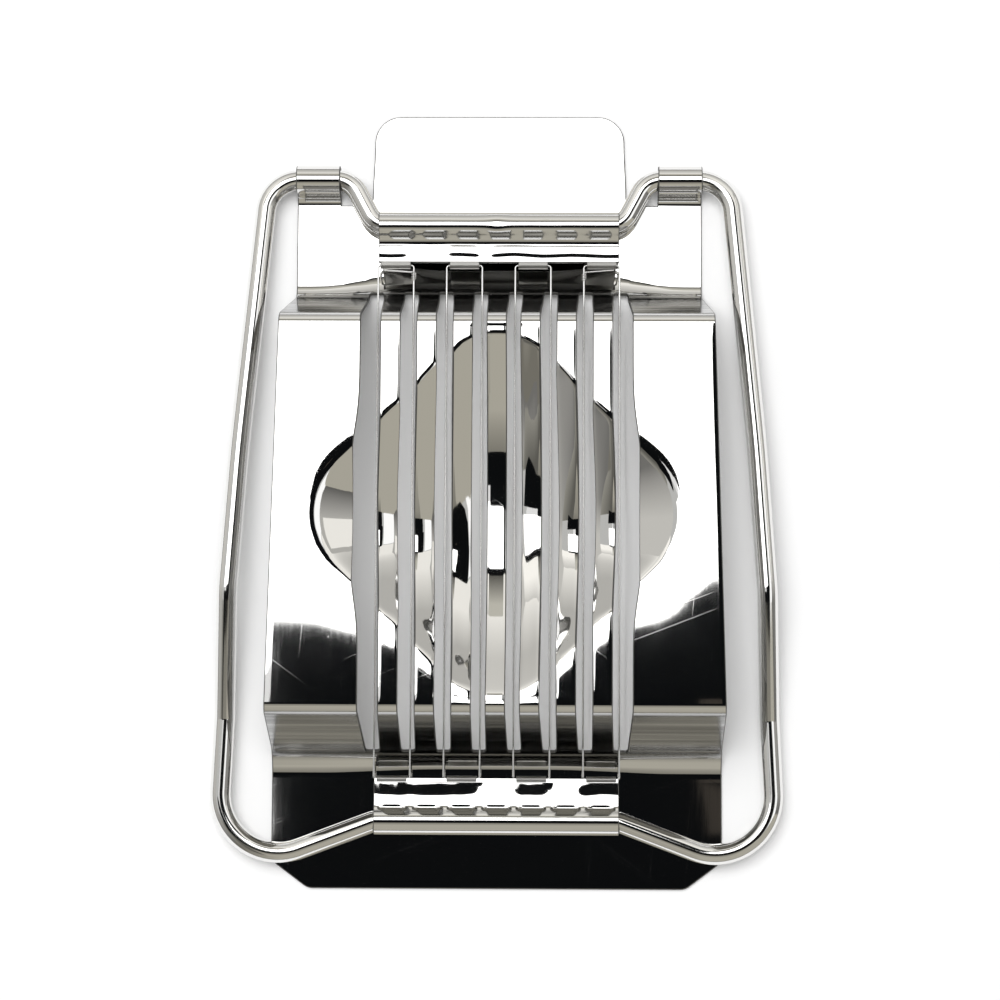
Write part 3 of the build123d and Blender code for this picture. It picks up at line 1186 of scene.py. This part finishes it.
# Spans of the cards over the slicer along X and along Y, and of a panel on the right along Y and Z
soft_box_plan = ((-0.33, 0.088), (0, 0.28))
side_bar_plan = ((0.088, 0.26), (-0.02, 0.3))
rear_bar_plan = ((-0.33, 0.1), (0.28, 0.315))
right_light_plan = ((0.3, wall_place), (front_line, 0.28))
camera_stand_plan = ((0.061, 0.077), (-0.06, -0.041))
camera_shade_corners = (
    (-0.087, -0.06),
    (-0.087, 0.013),
    (0.046, 0.018),
    (0.061, 0.028),
    (0.24, 0.026),
    (0.24, front_line),
    (-0.22, front_line),
    (-0.34, -0.24),
    (-0.34, -0.06),
)
right_panel_x = 0.595
right_panel_y = (0.12, 0.5)
right_panel_z = (0.28, 0.44)

# Looks of the walls and ceilings. A graded one has a colour, an axis, two places along it and the levels
# there, and a plain one a colour and a level.
graded_looks = {
    "front_wall": (front_colour, "X", -0.45, -0.05, 0.43, 1),
    "left_wall": (warm_white, "Y", -0.55, 0.1, 0.18, 0.6),
    "right_wall": (warm_white, "Y", right_wall_turn, 0.12, 0.12, 0.48),
    "rear_wall": (warm_white, "Z", 0.15, ceiling_height, 0.5, 0.95),
    "front_left_ceiling": (warm_grey, "X", -wall_place, -0.3, 0.3, 0.12),
    "front_middle_ceiling": (front_colour, "Y", -0.45, -0.2, 1, 0.5),
    "rear_left_ceiling": (warm_white, "Y", 0.42, wall_place, 1.1, 0.65),
    "rear_middle_ceiling": (warm_grey, "Y", rear_line, 0.5, 0.06, 0.55),
}
plain_looks = {
    "right_front_wall": (front_colour, 1),
    "right_panel": (warm_white, 0.95),
    "front_right_ceiling": (front_colour, 1),
    "left_ceiling": (side_ceiling_colour, 1),
    "right_ceiling": (side_ceiling_colour, 1),
    "rear_right_ceiling": (warm_white, 0.95),
    "low_ring": (ring_colour, 1),
}


def card(name, corners, material):
    """A flat card of the studio, which only shows in mirrors."""
    mesh = bpy.data.meshes.new(name)
    mesh.from_pydata(corners, [], [list(range(len(corners)))])
    mesh.materials.append(material)
    made = add_object(name, mesh)
    made.visible_camera = False
    made.visible_diffuse = False
    made.visible_shadow = False
    return made


def level(x_span, y_span, height):
    """Corners of a level rectangle."""
    (left, right), (front, rear) = x_span, y_span
    return [(x, y, height) for x, y in ((left, front), (right, front), (right, rear), (left, rear))]


def square(half):
    """Corners in the plan of a square round the slicer, from the front left."""
    return [(-half, -half), (half, -half), (half, half), (-half, half)]


def upright(start, end, bottom, top):
    """Corners of a wall between two places in the plan."""
    return [(*start, bottom), (*end, bottom), (*end, top), (*start, top)]


def make_walls():
    """Walls and a ceiling that shade off from the beige front to the pale rear, and a low dark ring."""
    looks = {name: graded(f"{name}_shade", *look) for name, look in graded_looks.items()}
    looks |= {name: glow(f"{name}_glow", *look) for name, look in plain_looks.items()}
    far = wall_place
    front_left, front_right, rear_right, rear_left = square(far)
    turn = (far, right_wall_turn)
    walls = {
        "front_wall": (front_left, front_right),
        "left_wall": (front_left, rear_left),
        "right_front_wall": (front_right, turn),
        "right_wall": (turn, rear_right),
        "rear_wall": (rear_left, rear_right),
    }
    left, middle, right = (-far, -side_line), (-side_line, side_line), (side_line, far)
    front, centre, rear = (-far, front_line), (front_line, rear_line), (rear_line, far)
    ceilings = {
        "front_left_ceiling": (left, front),
        "front_middle_ceiling": (middle, front),
        "front_right_ceiling": (right, front),
        "left_ceiling": (left, centre),
        "right_ceiling": (right, centre),
        "rear_left_ceiling": ((-far, rear_lines[0]), rear),
        "rear_middle_ceiling": (rear_lines, rear),
        "rear_right_ceiling": ((rear_lines[1], far), rear),
    }
    for name, ends in walls.items():
        card(name, upright(*ends, ring_top, ceiling_height), looks[name])
    for name, plan in ceilings.items():
        card(name, level(*plan, ceiling_height), looks[name])
    panel_ends = [(right_panel_x, y) for y in right_panel_y]
    card("right_panel", upright(*panel_ends, *right_panel_z), looks["right_panel"])
    ring = square(ring_place)
    for side in range(4):
        corners = upright(ring[side - 1], ring[side], ring_bottom, ring_top)
        card(f"low_ring_{side + 1}", corners, looks["low_ring"])


def make_studio():
    """Floor, soft box with its dark bars, dark card round the camera, side light, walls and sky."""
    floor_span = (-floor_half, floor_half)
    floor = card("floor", level(floor_span, floor_span, 0), pale_floor())
    floor.visible_camera = True
    floor.visible_diffuse = True
    soft_box = glow("soft_box_light", white, soft_box_level)
    side_light = glow("right_light", white, right_light_level)
    black = glow("camera_shade_black", black_colour)
    brown = glow("camera_stand_brown", camera_stand_colour)
    card("soft_box", level(*soft_box_plan, soft_box_height), soft_box)
    card("soft_box_bar", level(*side_bar_plan, card_height), black)
    card("soft_box_rear_bar", level(*rear_bar_plan, soft_box_height), black)
    card("right_light", level(*right_light_plan, soft_box_height), side_light)
    card("camera_shade", [(x, y, card_height) for x, y in camera_shade_corners], black)
    card("camera_stand", level(*camera_stand_plan, camera_stand_height), brown)
    make_walls()
    make_key()
    make_sky()


def make_key():
    """A large soft lamp from the left and behind, which lays the shadows on the floor."""
    data = bpy.data.lights.new("key", "AREA")
    data.size = key_size
    data.energy = key_power
    lamp = add_object("key", data)
    lamp.location = key_place
    lamp.rotation_euler = Vector(key_place).to_track_quat("Z", "Y").to_euler()
    lamp.visible_glossy = False


def make_sky():
    """A sky that is white to the camera, a little less in mirrors, and dimmer where it fills shadows."""
    world = bpy.data.worlds.new("studio")
    world.use_nodes = True
    tree = world.node_tree
    sky = tree.nodes["Background"]
    sky.inputs["Color"].default_value = (*white, 1)
    rays = add_node(tree, "ShaderNodeLightPath")
    seen = ranged(tree, rays.outputs["Is Camera Ray"], 0, 1, diffuse_sky_level, 1)
    mirrored = ranged(tree, rays.outputs["Is Glossy Ray"], 0, 1, 0, glossy_sky_level - diffuse_sky_level)
    tree.links.new(combined(tree, "ADD", seen, mirrored), sky.inputs["Strength"])
    bpy.context.scene.world = world


def make_camera():
    """The photograph's camera: steep, a little from the front and from the right."""
    tilt = radians(6.2)
    yaw = radians(0.9)
    roll = radians(0.28)
    distance = 0.5
    aim = Vector((0.0007, -0.00273, 0.022))
    data = bpy.data.cameras.new("camera")
    data.lens = 108
    data.sensor_width = 36
    camera = add_object("camera", data)
    camera.rotation_euler = (tilt, yaw, roll)
    camera.location = aim + camera.rotation_euler.to_matrix() @ Vector((0, 0, distance))
    bpy.context.scene.camera = camera


# The sheet steel carries painted shade on the drawn walls
sheet_steel = steel(
    "mirror_sheet_steel",
    steel_colour,
    polish=(0.03, 0.04),
    grain=(1600, 90, 400),
    scratch_turns=(0.1, 1.2, 2.2),
    walled=True,
)
rod_steel = steel("drawn_rod_steel", steel_colour, polish=(0.05, 0.1), grain=(1500, 1500, 25), drawn=True)
clamp_steel = steel(
    "folded_clamp_steel", steel_colour, polish=(0.04, 0.08), grain=(90, 1600, 400), scratch_turns=(1.5,)
)
wire_steel = steel(
    "cutting_wire_steel", wire_colour, polish=(0.05, 0.09), grain=(3000, 3000, 60), drawn=True
)
# Rough sheared edges whose dark colour is painted shade, a dark outline round every sheet
edge_and_shade_steel = steel("sheared_edge_and_shade_steel", edge_and_shade_colour, polish=(0.4, 0.55), grain=(700, 700, 2500))
# Unpolished undersides whose dark colour is painted shade, which keeps the shade under the deck dark
dull_and_shade_steel = steel(
    "unpolished_and_shaded_sheet_steel", dull_and_shade_colour, polish=(0.3, 0.42), grain=(300, 90, 300), scratch_turns=(0.4, 1.9)
)

fit_out(make_base(), "base", "base_sheet", "base_plate", sheet_steel, edge_and_shade_steel, dull_and_shade_steel)
fit_out(make_rod(), "cutter", "frame_rod", "frame_rod", rod_steel)
rear_clamp = make_clamp(
    "rear_clamp_sheet", rear_bar_y, rear_flange_reach, -1, rear_flange_tilt, rear_press
)
fit_out(rear_clamp, "cutter", "clamp_sheet", "rear_wire_clamp", clamp_steel, edge_and_shade_steel, dull_and_shade_steel)
front_clamp = make_clamp(
    "front_clamp_sheet", front_bar_y, front_flange_reach, 1, front_flange_tilt, front_press, front_lip
)
fit_out(front_clamp, "cutter", "clamp_sheet", "front_wire_clamp", clamp_steel, edge_and_shade_steel, dull_and_shade_steel)
for index in range(loop_count):
    fit_out(make_wire(index), "cutter", "cutting_wire", f"cutting_wire_{index + 1}", wire_steel)

make_studio()
make_camera()
bpy.context.scene.view_settings.view_transform = "Standard"
